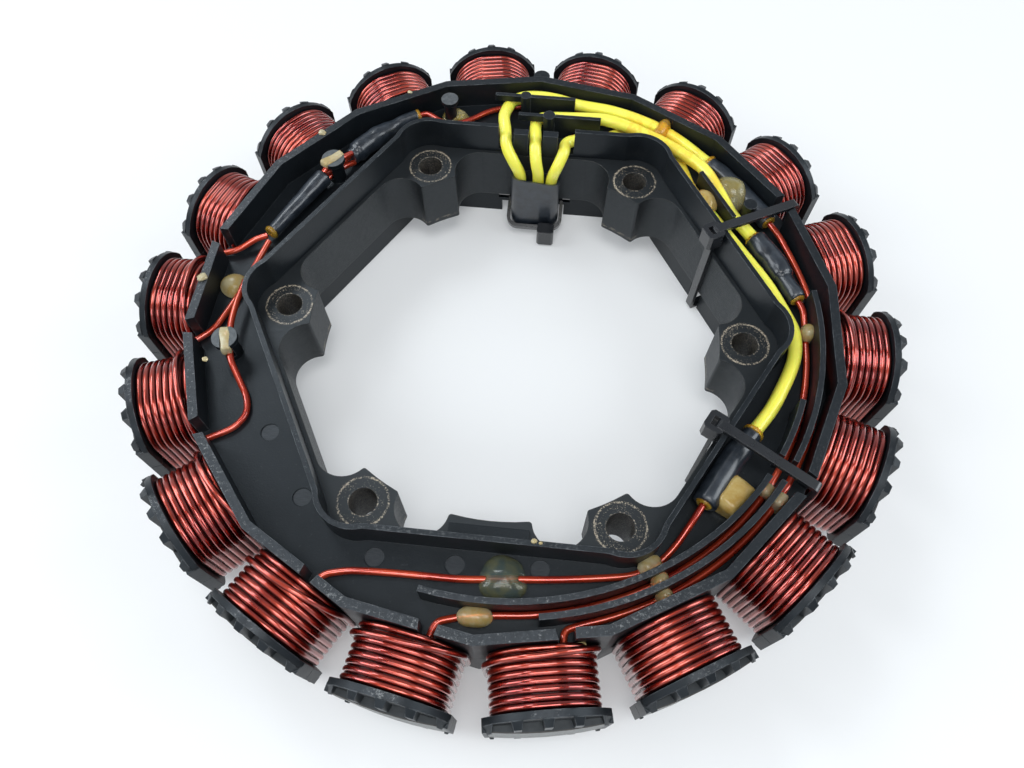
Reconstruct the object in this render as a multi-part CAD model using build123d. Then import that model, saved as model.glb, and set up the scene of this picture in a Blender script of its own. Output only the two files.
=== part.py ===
from build123d import *
import os
from math import cos, radians, sin, tan

os.makedirs("parts", exist_ok=True)

# Wound stator of an outer-rotor motor: a laminated core with 18 poles that face outwards, six
# mounting lugs inside, an insulator in two halves, one coil on each pole, and the leads, star
# splices and ties that lie in the trough of the upper insulator.
# Sizes are in millimetres. The motor axis is Z. +X runs through a mounting hole and the pole
# at 0 degrees, +Y points to the harness outlet, and z = 0 is the plane the stator rests on.

# Core
pole_count = 18
lug_count = 6
stack_thickness = 18.1
pole_face_d = 204.0
pilot_d = 111.6
bolt_circle_d = 125.0
bolt_hole_d = 7.0
core_flat = 61.1
yoke_flat = 83.35
tooth_width = 11.0
shoe_width = 26.0
shoe_depth = 2.2
lug_end_width = 11.2
lug_arc_r = 7.2
block_end_width = 20.0
block_arc_r = 6.7
tongue_corner_r = 0.8

# Insulator
fit = 0.05
plate_t = 0.9
liner_t = 1.4
wall_t = 2.3
wall_rise = 8.25
hex_ledge = 1.2
hex_wall_t = 1.3
hex_wall_lip = 0.8
boss_wall_r = 8.7
boss_blend = 4.0
sleeve_t = 0.95
flange_t = 1.6
flange_width = 28.2
flange_spring = 8.6
flange_top = 17.9
wrap_depth = 1.4
rib_depth = 1.8
rib_width = 2.5
rib_tip = 1.5
rib_taper = 28.0
rib_proud = 0.3
rib_places = (-1.0, -0.5, 0.0, 0.5, 1.0)
parting_gap = 0.2

# Trough: wall breaks as (angle, width), guide ribs as (radius, from angle, to angle)
facet_breaks = ((243.0, 2.6), (263.1, 3.0), (283.6, 3.0))
corner_breaks = ((170.0, 3.9), (190.0, 3.4), (210.0, 3.5), (30.0, 4.6), (330.0, 5.0))
break_bevel = 0.9
guide_t = 1.4
inner_guide_r = 76.4
outer_guide_r = 79.8
guide_runs = (
    (inner_guide_r, 259.9, 327.8),
    (inner_guide_r, 332.4, 344.8),
    (outer_guide_r, 279.8, 328.4),
    (outer_guide_r, 332.6, 369.3),
)
fence_t = 1.2
clip_arm_depth = 2.2
outlet_from = -11.0
outlet_to = 12.0
tie_notch_w = 5.4
split_posts = ((75.1, 193.2, 196.0), (74.0, 141.7, -41.0))
post_slot = 2.3
pad_overhang = 3.7
ejector_mark_d = 4.6
ejector_mark_depth = 0.25
ejector_marks = ((-57.9, -38.8), (-45.9, -54.8), (-25.8, -67.5), (-6.8, -67.4), (13.0, -66.5))

# Coils
turns = 8
coil_build = 5.6
coil_clearance = 0.12
coil_corner_r = 10.5
turn_groove = 0.42

# Wires, leads, sleeves and ties
wire_d = 1.7
lead_d = 3.6
tie_width = 2.5
tie_t = 1.1
tie_clearance = 0.2
harness_tie_width = 2.2
tie_head = 5.0
harness_sleeve_wall = 0.8
harness_sleeve_depth = 7.3
harness_sleeve_width = 15.5
harness_sleeve_x = 1.05
harness_sleeve_low = 2.9
harness_sleeve_high = 24.6

# Heights and radii that follow
half_stack = stack_thickness / 2
z_mid = half_stack + plate_t + wall_rise
z_steel = z_mid + half_stack
z_floor = z_steel + plate_t
z_wall = z_floor + wall_rise
z_hex = z_wall + hex_wall_lip
wall_flat = yoke_flat + fit + liner_t
hex_inner = core_flat + hex_ledge
hex_outer = hex_inner + hex_wall_t
bolt_r = bolt_circle_d / 2
pole_r = pole_face_d / 2
shoe_back = pole_r - shoe_depth
flange_in = shoe_back - flange_t
pole_step = 360 / pole_count
lug_step = 360 / lug_count


def at(r, angle, z=0.0):
    a = radians(angle)
    return Vector(r * cos(a), r * sin(a), z)


def beside_flat(angle, distance, along, z=0.0):
    # A point given by its distance from the axis square to a flat, and its place along it
    a = radians(angle)
    return Vector(distance * cos(a) - along * sin(a), distance * sin(a) + along * cos(a), z)


def polygon_by_flats(count, flat, turned):
    return RegularPolygon(flat, count, major_radius=False, rotation=turned)


def ring_of(shape, count):
    step = 360 / count
    return [shape.rotate(Axis.Z, step * k) for k in range(count)]


def slab(sketch, low, high):
    return extrude(Pos(0, 0, low) * sketch, high - low)


def rectangle(x0, x1, y0, y1):
    return Pos((x0 + x1) / 2, (y0 + y1) / 2) * Rectangle(x1 - x0, y1 - y0)


def hexagon_with_bosses(flat, boss_r):
    # The corners of the hexagon give way to arcs about the bolt holes, which stand a little
    # proud of the flats and blend into them
    outline = polygon_by_flats(lug_count, flat, 0) & Circle(bolt_r + boss_r - 0.6)
    for k in range(lug_count):
        outline += Pos(at(bolt_r, lug_step * k)) * Circle(boss_r)
    return fillet(outline.vertices(), boss_blend)


# Core: yoke ring, teeth with shoes, mounting lugs and the blank block opposite the outlet
def core():
    outline = polygon_by_flats(pole_count, yoke_flat, pole_step / 2)
    outline -= polygon_by_flats(lug_count, core_flat, 0)
    shoe = rectangle(shoe_back, pole_r + 1, -shoe_width / 2, shoe_width / 2) & Circle(pole_r)
    tooth = rectangle(yoke_flat - 4, shoe_back + 1, -tooth_width / 2, tooth_width / 2) + shoe
    outline += ring_of(tooth, pole_count)
    outline += ring_of(tongue(lug_end_width, lug_arc_r, lug_step / 2), lug_count)
    outline += tongue(block_end_width, block_arc_r, 0).rotate(Axis.Z, 270)
    for k in range(lug_count):
        outline -= Pos(at(bolt_r, lug_step * k)) * Circle(bolt_hole_d / 2)
    return slab(outline, z_mid - half_stack, z_steel)


# A tongue reaches in to the pilot diameter. Its concave flanks are arcs that end tangent to
# the flats of the hexagonal opening, which lean away from the tongue's own direction.
def tongue(end_width, arc_r, lean):
    lean = radians(lean)
    cy = end_width / 2 + arc_r
    cx = (core_flat - arc_r - cy * sin(lean)) / cos(lean)
    foot_x = cx + arc_r * cos(lean)
    foot_y = cy + arc_r * sin(lean)
    blank = rectangle(cx - 6, yoke_flat - 4, -cy, cy)
    blank += rectangle(foot_x, yoke_flat - 4, -foot_y, foot_y)
    for side in (-1, 1):
        blank -= Pos(cx, side * cy) * Circle(arc_r)
    blank -= Circle(pilot_d / 2)
    tips = [v for v in blank.vertices() if abs(Vector(v.X, v.Y, 0).length - pilot_d / 2) < 0.01]
    return fillet(tips, tongue_corner_r)


# One half of a bobbin, for the pole on +X, with heights from the parting plane
def bobbin_half(proud):
    half_w = flange_width / 2
    sleeve_half = tooth_width / 2 + fit + sleeve_t
    sleeve_top = half_stack + sleeve_t
    facing = Plane((0, 0, 0), x_dir=(0, 1, 0), z_dir=(1, 0, 0))
    sleeve = RectangleRounded(2 * sleeve_half, 2 * sleeve_top, 1.6)
    body = extrude(facing.offset(wall_flat - 1) * sleeve, flange_in - wall_flat + 1.5)
    body += extrude(facing.offset(flange_in) * arch(half_w, 0), flange_t)
    crest = extrude(facing.offset(shoe_back) * arch(half_w, proud), rib_depth, taper=rib_taper)
    for place in rib_places:
        y = place * (half_w - rib_width / 2)
        body += crest & slab(rib_plan(y), half_stack, 40)
    cheeks = rectangle(shoe_back - 0.5, shoe_back + wrap_depth, -half_w, half_w)
    body += slab(cheeks, 0, half_stack)
    body -= slab(rectangle(shoe_back, pole_r + 1, -pole_r, pole_r) & shoe_room(), -1, half_stack)
    tooth_room = tooth_width / 2 + fit
    body -= slab(rectangle(0, pole_r + 1, -tooth_room, tooth_room), -50, half_stack)
    return body - slab(rectangle(0, pole_r + 9, -40, 40), -50, parting_gap / 2)


def rib_plan(y):
    root, tip = rib_width / 2, rib_tip / 2
    corners = [(shoe_back, y - root), (pole_r, y - tip), (pole_r, y + tip), (shoe_back, y + root)]
    return make_face(Polyline(*corners, close=True))


def shoe_room():
    return rectangle(0, pole_r + 1, -shoe_width / 2 - fit, shoe_width / 2 + fit)


def arch(half_w, grow):
    top = (0, flange_top + grow)
    side = half_w
    edge = Polyline((side, flange_spring + grow), (side, 0), (-side, 0), (-side, flange_spring + grow))
    bow = ThreePointArc((-side, flange_spring + grow), top, (side, flange_spring + grow))
    return make_face(edge + bow)


# The part of an insulator half that both halves share, with heights from the parting plane
def insulator_half(hex_lip, proud):
    top = half_stack + plate_t + wall_rise
    rim = polygon_by_flats(pole_count, wall_flat, pole_step / 2)
    opening = hexagon_with_bosses(hex_inner, boss_wall_r)
    half = slab(rim - opening, half_stack, half_stack + plate_t)
    outer_wall = rim - polygon_by_flats(pole_count, wall_flat - wall_t, pole_step / 2)
    half += slab(outer_wall, half_stack, top)
    liner = rim - polygon_by_flats(pole_count, yoke_flat + fit, pole_step / 2)
    half += slab(liner, parting_gap / 2, half_stack)
    hex_wall = hexagon_with_bosses(hex_outer, boss_wall_r + hex_wall_t) - opening
    half += slab(hex_wall, half_stack, top + hex_lip)
    half += ring_of(bobbin_half(proud), pole_count)
    room = tooth_width / 2 + fit
    half -= ring_of(slab(rectangle(yoke_flat - 4, flange_in, -room, room), -1, half_stack), pole_count)
    return half


def wall_break(angle, width):
    reach_in = wall_flat - wall_t - 1
    reach_out = wall_flat / cos(radians(pole_step / 2)) + 1
    wide = width / 2 + break_bevel
    gap = make_face(
        Polyline(
            (reach_in, -wide), (reach_in, wide), (reach_out, width / 2), (reach_out, -width / 2),
            close=True,
        )
    )
    return gap.rotate(Axis.Z, angle)


def curved_rib(r, start, end):
    path = CenterArc((0, 0), r, start, end - start)
    return trace(path, guide_t)


def lead_clip(x_free, x_pillar, x_end, y, pillar_r):
    # A pillar with a full plate to its right and, to its left, an arm that a lead passes under
    pillar = slab(Pos(x_pillar, y) * Circle(pillar_r), z_floor - 0.1, z_wall + 0.2)
    plate = slab(trace(Line((x_pillar, y), (x_end, y)), fence_t), z_floor - 0.1, z_wall)
    arm = slab(trace(Line((x_free, y), (x_pillar, y)), fence_t), z_wall - clip_arm_depth, z_wall)
    return pillar + plate + arm


def split_post(r, angle, turned):
    # Round stem with a wider head, both split by a slot that takes the wires
    centre = Pos(at(r, angle)) * Rot(0, 0, turned)
    stem = slab(Circle(2.4), z_floor, z_wall - 1.2)
    head = slab(Circle(3.3), z_wall - 1.4, z_wall)
    slot = slab(Rectangle(post_slot, 9), z_floor + 1.7, z_wall + 1)
    return centre * (stem + head - slot)


def upper_insulator():
    body = Pos(0, 0, z_mid) * insulator_half(hex_wall_lip, rib_proud)
    for angle, width in facet_breaks + corner_breaks:
        body -= slab(wall_break(angle, width), z_floor, z_hex)
    body -= slab(rectangle(outlet_from, outlet_to, hex_inner - 1, hex_outer + 0.4), z_floor, z_hex + 1)
    for r, start, end in guide_runs:
        body += slab(curved_rib(r, start, end), z_floor - 0.1, z_wall)
    # Castellation posts in the outlet, then the two lead clips behind it
    for x0, x1 in ((-6.3, -1.9), (2.5, 7.0)):
        body += slab(rectangle(x0, x1, hex_inner - 1.2, hex_inner + 1.0), z_steel, z_wall - 0.4)
    body += lead_clip(-13.5, -4.1, 11.2, 77.1, 1.6)
    body += lead_clip(-5.6, 3.7, 19.4, 69.4, 1.8)
    # Guide plate and post by the upper right star splice
    plate = Line(beside_flat(30, 68.6, 20.0), beside_flat(30, 68.6, 1.8))
    body += slab(trace(plate, fence_t - 0.1), z_floor - 0.1, z_wall)
    body += slab(Pos(63.2, 40.8) * Circle(1.9), z_floor - 0.1, z_wall)
    # Wire posts on the left and a round-headed post at the top
    for place in split_posts:
        body += split_post(*place)
    body += Pos(at(77.8, 110.5)) * (
        slab(Circle(1.9), z_floor - 0.1, z_wall - 0.6) + slab(Circle(2.6), z_wall - 0.8, z_wall + 0.5)
    )
    # Peg outside the wall, between the two poles at the outlet
    body += slab(Pos(0, 86.4) * Circle(2.5), z_floor, z_wall - 0.2)
    # Ejector pin marks in the trough floor
    for x, y in ejector_marks:
        body -= slab(Pos(x, y) * Circle(ejector_mark_d / 2), z_floor - ejector_mark_depth, z_floor + 1)
    # Pad on the blank block
    pad = rectangle(hex_inner - pad_overhang - 1.2, hex_inner + 0.5, -9.7, 9.7).rotate(Axis.Z, 270)
    body += slab(pad, z_steel, z_floor)
    return body


def lower_insulator():
    half = insulator_half(0.0, 0.0)
    body = Pos(0, 0, z_mid) * half.mirror(Plane.XY)
    z_under = z_mid - half_stack
    for angle, width in corner_breaks[3:]:
        body -= slab(wall_break(angle, width), -1, z_under - plate_t)
        notch = rectangle(hex_inner - 2, hex_outer + 0.5, -tie_notch_w / 2, tie_notch_w / 2)
        body -= slab(notch.rotate(Axis.Z, angle), -1, z_under - plate_t)
    # Slot for the harness tie, the bridge under it and the cable passage below
    body -= slab(rectangle(-11.5, 12.3, hex_inner - 1, hex_outer + 2.6), z_under - 3.1, z_under)
    body -= slab(rectangle(-10.4, 10.4, hex_inner - 1, hex_outer + 0.5), -1, z_under - 4.3)
    return body


# Coil on the pole at +X. Each turn is a rounded ring with bevelled rims, so the turns show as
# ridges on the outside of the winding.
def coil():
    start = wall_flat + coil_clearance
    pitch = (flange_in - coil_clearance - start) / turns
    half_w = tooth_width / 2 + 2 * fit + sleeve_t + coil_build
    half_h = half_stack + fit + sleeve_t + coil_build + 0.25
    across = Plane((start, 0, z_mid), x_dir=(0, 1, 0), z_dir=(1, 0, 0))
    turn = extrude(across * RectangleRounded(2 * half_w, 2 * half_h, coil_corner_r), pitch)
    sides = turn.faces().sort_by(Axis.X)
    turn = chamfer(sides[0].edges() + sides[-1].edges(), turn_groove)
    body = turn
    for k in range(1, turns):
        body += Pos(k * pitch, 0, 0) * turn
    hole_w = tooth_width + 2 * (fit + sleeve_t + fit)
    hole_h = stack_thickness + 2 * (sleeve_t + fit)
    core_room = chamfer(Rectangle(hole_w, hole_h).vertices(), 0.5)
    return body - extrude(across.offset(-1) * core_room, turns * pitch + 2)


# A tube along straight runs joined by tangent arcs, each as large as its runs allow
def tube(points, diameter):
    points = [Vector(p) for p in points]
    radii = []
    for a, b, c in zip(points, points[1:], points[2:]):
        run = min((b - a).length, (c - b).length)
        half_turn = radians((b - a).get_angle(c - b)) / 2
        radii.append(0.45 * run / tan(half_turn))
    path = FilletPolyline(*points, radius=radii) if radii else Line(*points)
    print("smallest bend", round(min(radii, default=0), 1), "length", round(path.length, 1))
    return sweep(Plane(path @ 0, z_dir=path % 0) * Circle(diameter / 2), path)


def cone(start, end, start_d, end_d):
    start, end = Vector(start), Vector(end)
    near = Plane(start, z_dir=end - start) * Circle(start_d / 2)
    far = Plane(end, z_dir=end - start) * Circle(end_d / 2)
    return loft([near, far])


def round_the_axis(r, start, end, z, step=6.0):
    count = max(1, round(abs(end - start) / step))
    return [at(r, start + (end - start) * k / count, z) for k in range(count + 1)]


wire_z = z_floor + wire_d / 2 + 0.05
wire_end = wall_flat - 0.1
splice_z = z_floor + 3.1
splice_1 = [(-71.6, 21.1, splice_z), (-60.9, 42.5, splice_z + 0.8)]
splice_2_collar = [(-54.5, 51.6, splice_z), (-53.0, 54.2, splice_z)]
splice_2 = [(-53.4, 53.5, splice_z), (-51.6, 56.6, splice_z), (-47.6, 61.4, splice_z)]
splice_2_tail = [(-45.4, 64.1, splice_z), (-41.8, 67.8, splice_z), (-37.3, 70.5, splice_z)]
splice_3 = [(50.2, -47.6, splice_z), (57.6, -34.8, splice_z), (60.3, -31.1, splice_z)]
splice_3_collar = [(60.0, -31.5, splice_z), (62.5, -28.0, splice_z)]
splice_4 = [(65.1, 32.4, splice_z), (70.4, 24.6, splice_z), (72.5, 20.1, splice_z)]
splice_4_tail = [(72.3, 20.5, splice_z), (75.9, 12.9, splice_z)]
splice_5 = [at(79.98, a, z_floor + 2.6) for a in (48.6, 42.3, 36.0, 29.6)]


def before(route, length):
    # The point in line with a route's first run, this far before it
    start = Vector(route[0])
    return start - (Vector(route[1]) - start).normalized() * length


def after(route, length):
    return before(route[::-1], length)


def link_wires():
    # Three coil ends that cross the trough: beside the hexagonal wall, between the ribs,
    # and between the outer rib and the wall. Each ends in a splice sleeve.
    first = [at(wire_end, 243.0, wire_z), at(81.4, 243.4, wire_z), at(77.9, 246.4, wire_z)]
    first += [at(74.6, 252.0, wire_z), at(72.4, 258.0, wire_z), at(71.0, 266.0, wire_z)]
    first += [at(69.9, 275.0, wire_z), at(70.6, 283.0, wire_z), at(72.2, 291.0, wire_z)]
    first += [at(74.4, 297.5, wire_z), at(74.4, 302.5, wire_z), at(72.9, 307.0, wire_z + 0.8)]
    first += [before(splice_3, 4.6), splice_3[0]]
    second = [at(wire_end, 263.1, wire_z), at(81.2, 263.5, wire_z), at(79.2, 267.0, wire_z)]
    middle = (inner_guide_r + outer_guide_r) / 2
    second += round_the_axis(middle, 272.0, 362.0, wire_z)
    second += [after(splice_4_tail, 3.4), splice_4_tail[-1]]
    outside = (outer_guide_r + guide_t / 2 + wall_flat - wall_t) / 2
    third = [at(wire_end, 283.3, wire_z), at(82.0, 283.8, wire_z), at(81.45, 286.6, wire_z)]
    third += round_the_axis(outside, 291.0, 372.0, wire_z)
    third += [at(81.0, 378.0, wire_z + 0.5), after(splice_5, 5.0), splice_5[-1]]
    return first, second, third


def star_wires():
    # Coil ends on the left: two run from the left splice to wall breaks, one passes the post
    one = [at(wire_end + 0.9, 170.9, wire_z + 0.4), at(81.2, 169.5, wire_z + 1.2)]
    one += [at(77.8, 166.4, splice_z), (-72.6, 19.9, splice_z)]
    two = [at(74.4, 165.6, splice_z - 0.9), at(74.6, 171.5, wire_z + 1.0), at(75.6, 177.0, wire_z)]
    two += [at(77.6, 182.5, wire_z), at(80.8, 187.9, wire_z), at(wire_end + 1.2, 190.4, wire_z)]
    three = [at(74.4, 177.6, wire_z + 3.2), at(74.7, 183.0, wire_z + 3.7), at(75.2, 188.6, wire_z + 3.7)]
    three += [at(74.9, 196.4, wire_z + 3.4), at(73.5, 200.4, wire_z + 1.6), at(72.4, 204.6, wire_z)]
    three += [at(73.4, 208.4, wire_z), at(77.4, 210.2, wire_z), at(wire_end + 1.2, 210.3, wire_z)]
    four = [splice_2_tail[-1], after(splice_2_tail, 3.0), (-28.0, 69.3, wire_z + 0.3)]
    four += [(-21.2, 72.6, wire_z), (-16.0, 77.0, wire_z), (-10.0, 79.6, wire_z)]
    four += [(-3.0, 80.6, wire_z), (6.0, 80.4, wire_z), (13.0, 79.4, wire_z), (19.5, 77.9, wire_z)]
    return one, two, three, four


def star_bundle():
    # Three wires, one above the other, that join the two left splices through the slot of a post
    r, angle, turned = split_posts[1]
    post = at(r, angle, z_floor + 4.45)
    along = Vector(-sin(radians(turned)), cos(radians(turned)), 0)
    aside = Vector(along.Y, -along.X, 0)
    for level, spread in ((-1.76, 0.7), (0.0, -0.9), (1.78, 0.3)):
        shift = Vector(0, 0, level)
        first = Vector(splice_1[-1]) + shift + aside * spread
        last = Vector(splice_2_collar[0]) + shift + aside * spread
        yield [first, post - along * 2.7 + shift, post + along * 2.7 + shift, last]


lead_z = z_floor + lead_d / 2 + 0.1


def phase_leads():
    # From the harness sleeve up through the outlet, past the clips and along the trough to three
    # splices. Past the mounting hole at 60 degrees leads a and b ride on lead c.
    high = z_wall - 2.5
    a = [(-3.6, 57.2, 15.5), (-3.8, 57.1, 23.6), (-6.2, 57.9, 28.2), (-8.6, 60.5, 31.3)]
    a += [(-9.1, 64.6, 33.4), (-10.3, 70.0, 33.8), (-10.0, 74.5, 32.6), (-8.6, 78.9, 32.1)]
    a += [(-5.0, 80.8, 32.5), (0.0, 80.6, 33.1), (5.0, 80.3, 32.9), (10.0, 79.85, 31.9)]
    a += [(15.0, 78.8, 32.0), at(80.3, 74.5, 32.6), at(80.3, 69.0, 32.8), at(80.3, 62.5, 32.8)]
    a += [at(80.3, 56.5, 32.0), before(splice_5, 3.6), splice_5[0]]
    b = [(1.9, 57.2, 15.5), (1.8, 57.1, 24.0), (0.9, 57.8, 28.2), (0.3, 60.6, 31.2)]
    b += [(0.2, 64.0, 32.2), (-0.4, 68.6, 32.1), (0.0, 72.6, 31.6), (4.5, 73.6, 31.6)]
    b += [(9.0, 73.2, 32.2), (14.0, 72.8, 32.9), (20.0, 72.2, 33.8), (25.0, 70.8, 33.95)]
    b += [at(75.0, 66.5, high), at(74.9, 60.0, high), at(75.0, 53.5, high)]
    b += [at(75.0, 47.0, high), beside_flat(30, 71.2, 13.5, high - 0.6)]
    b += [beside_flat(30, 71.0, 4.8, splice_z + 0.5), before(splice_4, 3.6), splice_4[0]]
    c = [(5.7, 57.2, 15.5), (6.0, 57.1, 23.0), (7.6, 57.7, 27.6), (9.2, 60.8, 30.3)]
    c += [(9.2, 64.6, 30.3), (12.6, 66.6, lead_z), (20.5, 66.8, lead_z), (25.5, 70.6, lead_z)]
    c += [at(77.4, 66.5, lead_z), at(77.8, 60.5, lead_z), at(76.4, 55.6, lead_z)]
    c += [beside_flat(30, 67.6, 26.6, lead_z), beside_flat(30, 65.85, 20.0, lead_z + 0.6)]
    c += [beside_flat(30, 65.85, 10.0, lead_z + 1.0), beside_flat(30, 66.3, 0.5, lead_z + 1.1)]
    c += [beside_flat(30, 67.0, -9.0, lead_z + 1.0), (67.9, 17.6, lead_z + 1.0)]
    c += [(71.8, 9.6, lead_z + 0.9), (74.7, 2.6, lead_z + 0.9), (74.5, -4.5, lead_z + 0.9)]
    c += [(72.2, -11.0, lead_z + 1.0), after(splice_3_collar, 8.4), splice_3_collar[-1]]
    return a, b, c


harness_plane = Plane((harness_sleeve_x, 57.15, 0))


def harness_sleeve():
    outer = RectangleRounded(harness_sleeve_width, harness_sleeve_depth, 3.4)
    inner = offset(outer, -harness_sleeve_wall)
    tube_body = slab(harness_plane * (outer - inner), harness_sleeve_low, harness_sleeve_high)
    slant = Plane((0, 57.15, harness_sleeve_high - 2.0), x_dir=(1, 0, -0.12), z_dir=(0.12, 0.35, 1))
    return split(tube_body, bisect_by=slant, keep=Keep.BOTTOM)


def ring_tie(angle, offset_t):
    # Band right round the ring section, over the hexagonal wall and out through the wall breaks
    x_in = core_flat - tie_clearance
    x_out = wall_flat / cos(radians(pole_step / 2)) + tie_clearance
    low = 0.5 + tie_t
    high = z_hex + tie_clearance
    inside = Polyline(
        (x_in, low), (x_in, high), (hex_outer + 0.4, high), (x_out, z_wall - 0.6), (x_out, low), close=True
    )
    window = make_face(inside)
    band = offset(window, tie_t) - window
    upright = Plane((0, offset_t, 0), x_dir=(1, 0, 0), z_dir=(0, -1, 0))
    loop = extrude(upright * band, tie_width / 2, both=True)
    x_head = hex_inner - 0.2 - tie_head / 2
    head = Pos(x_head, offset_t, high - 1.5) * Box(tie_head, tie_head + 0.4, tie_head)
    head = chamfer(head.edges().filter_by(Axis.Z), 0.8)
    loop += head - Pos(x_head - 0.3, offset_t, high + 1) * Box(1.6, 2.6, 3)
    return loop.rotate(Axis.Z, angle)


def harness_tie():
    # Band round the sleeve and the bridge of the lower insulator, in a plane that rises to the slot
    left = harness_sleeve_x - harness_sleeve_width / 2 - tie_clearance
    right = harness_sleeve_x + harness_sleeve_width / 2 + tie_clearance
    front = 57.15 - harness_sleeve_depth / 2 - 3 * tie_clearance
    back = hex_outer + tie_clearance
    window = fillet(rectangle(left, right, front, back).vertices(), 2.6)
    band = offset(window, tie_t) - window
    tilt = Plane((0, 57.15, 5.5), x_dir=(1, 0, 0), z_dir=(0, -sin(radians(19)), cos(radians(19))))
    shift = Pos(0, -57.15, 0)
    loop = extrude(tilt * (shift * band), harness_tie_width / 2, both=True)
    head = Box(5.4, 4.2, 6.0) - Pos(0.6, -0.6, -2.6) * Box(2.4, 1.8, 1.6)
    head = chamfer(head.edges().filter_by(Axis.Z), 0.6)
    return loop + Pos(5.2, front - tie_t - 1.6, 3.9) * head


def drop(x, y, r, h):
    # Drop of adhesive that stands on the trough floor
    ball_r = (r * r + h * h) / (2 * h)
    ball = Pos(x, y, z_floor + h - ball_r) * Sphere(ball_r)
    return ball & Pos(x, y, z_floor + 5) * Box(4 * r, 4 * r, 10)


def dab(r0, r1, angle, width, height):
    # Dab of adhesive that bridges two walls over a wire
    across = (Circle(r1) - Circle(r0)) & rectangle(r0 - 2, r1 + 2, -width / 2, width / 2)
    body = slab(across, z_floor, z_floor + height)
    return chamfer(body.edges().group_by(Axis.Z)[-1], min(r1 - r0, width) * 0.2).rotate(Axis.Z, angle)


def slot_fill(place, low, high):
    # Adhesive that closes the slot of a split post over the wires
    r, angle, turned = place
    fill = slab(Rectangle(post_slot - 2 * fit, 6.6), z_floor + low, z_floor + high)
    return Pos(at(r, angle)) * Rot(0, 0, turned) * fill


def adhesive_dabs():
    rib_in = inner_guide_r - guide_t / 2
    rib_gap = (inner_guide_r + guide_t / 2, outer_guide_r - guide_t / 2)
    wall_gap = (outer_guide_r + guide_t / 2, wall_flat - wall_t)
    return {
        "adhesive_left": drop(-78.5, 3.4, 3.9, 2.8),
        "adhesive_front": drop(4.7, -69.7, 5.5, 3.0),
        "adhesive_wire_start": dab(rib_gap[0], 80.6, 269.4, 7.6, 3.6),
        "adhesive_by_boss": dab(bolt_r + boss_wall_r + hex_wall_t, rib_in, 301.0, 4.6, 3.4),
        "adhesive_ribs_1": dab(*rib_gap, 300.9, 3.2, 5.4),
        "adhesive_wall_1": dab(*wall_gap, 300.4, 3.6, 5.2),
        "adhesive_ribs_2": dab(*rib_gap, 326.6, 2.6, 5.0),
        "adhesive_wall_2": dab(*wall_gap, 326.2, 3.4, 5.4),
        "adhesive_right": dab(77.0, rib_gap[1], 2.2, 3.6, 4.6),
        "adhesive_splice_3": dab(69.8, rib_in, 321.8, 8.4, 5.6),
        "adhesive_post": drop(-26.2, 73.6, 4.2, 3.0),
        "adhesive_slot_1": slot_fill(split_posts[0], 5.0, 8.1),
        "adhesive_slot_2": slot_fill(split_posts[1], 7.1, 8.6),
        "adhesive_strap": dab(74.0, 82.3, 61.2, 3.6, 7.4),
        "adhesive_plate": dab(64.9, 69.0, 40.2, 7.0, 6.4),
        "adhesive_splice_5": drop(59.4, 49.4, 4.4, 5.8),
    }


parts = {}
parts["lamination_stack"] = core()
parts["upper_insulator"] = upper_insulator()
parts["lower_insulator"] = lower_insulator()
one_coil = coil()
for k in range(pole_count):
    parts[f"coil_{k + 1:02d}"] = one_coil.rotate(Axis.Z, pole_step * (k - 4))
for k, route in enumerate(link_wires()):
    parts[f"link_wire_{k + 1}"] = tube(route, wire_d)
for k, route in enumerate(star_wires()):
    parts[f"star_wire_{k + 1}"] = tube(route, wire_d)
for name, route in zip("abc", phase_leads()):
    parts[f"phase_lead_{name}"] = tube(route, lead_d)
parts["harness_sleeve"] = harness_sleeve()
parts["ring_tie_upper"] = ring_tie(30, -1.2)
parts["ring_tie_lower"] = ring_tie(330, 0.6)
parts["harness_tie"] = harness_tie()
parts["splice_1"] = cone(*splice_1, 3.4, 5.2)
parts["splice_2"] = tube(splice_2_collar, 4.8) + tube(splice_2, 6.0) + tube(splice_2_tail, 3.7)
parts["splice_2"] += cone(splice_2[-1], after(splice_2, 5.5), 6.0, 3.7)
parts["splice_3"] = tube(splice_3, 6.0) + tube(splice_3_collar, 4.8)
parts["splice_4"] = tube(splice_4, 6.2) + tube(splice_4_tail, 4.8)
parts["splice_5"] = tube(splice_5, 5.0)
for k, route in enumerate(star_bundle()):
    parts[f"star_bundle_{k + 1}"] = tube(route, wire_d) - parts["splice_1"] - parts["splice_2"]
held_in_adhesive = ("link_wire_1", "link_wire_2", "link_wire_3", "star_wire_2", "star_wire_4")
held_in_adhesive += ("splice_3", "splice_5", "upper_insulator", "star_wire_3")
held_in_adhesive += ("phase_lead_a", "phase_lead_b", "phase_lead_c")
held_in_adhesive += ("star_bundle_1", "star_bundle_2", "star_bundle_3")
for name, shape in adhesive_dabs().items():
    for other in held_in_adhesive:
        shape -= parts[other]
    parts[name] = shape
for name, shape in parts.items():
    export_step(shape, f"parts/{name}.step")
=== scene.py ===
# %% [markdown]
# # A wound stator, dressed for a studio photograph
# The CAD model gives every rigid piece its place and its size. This script loads it as a fixed
# frame, adds the fine pieces that a CAD file leaves out, such as the turns of wire on each
# coil, and gives every surface a material made from nodes.
#
# A part could also be dressed by painting textures on it. Nodes are the better choice here,
# because they follow the real size of the object, need no unwrapping and can be changed later.

# %% Load the CAD frame
import math

import bmesh
import bpy
from mathutils import Matrix, Vector, noise as value_noise


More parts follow.
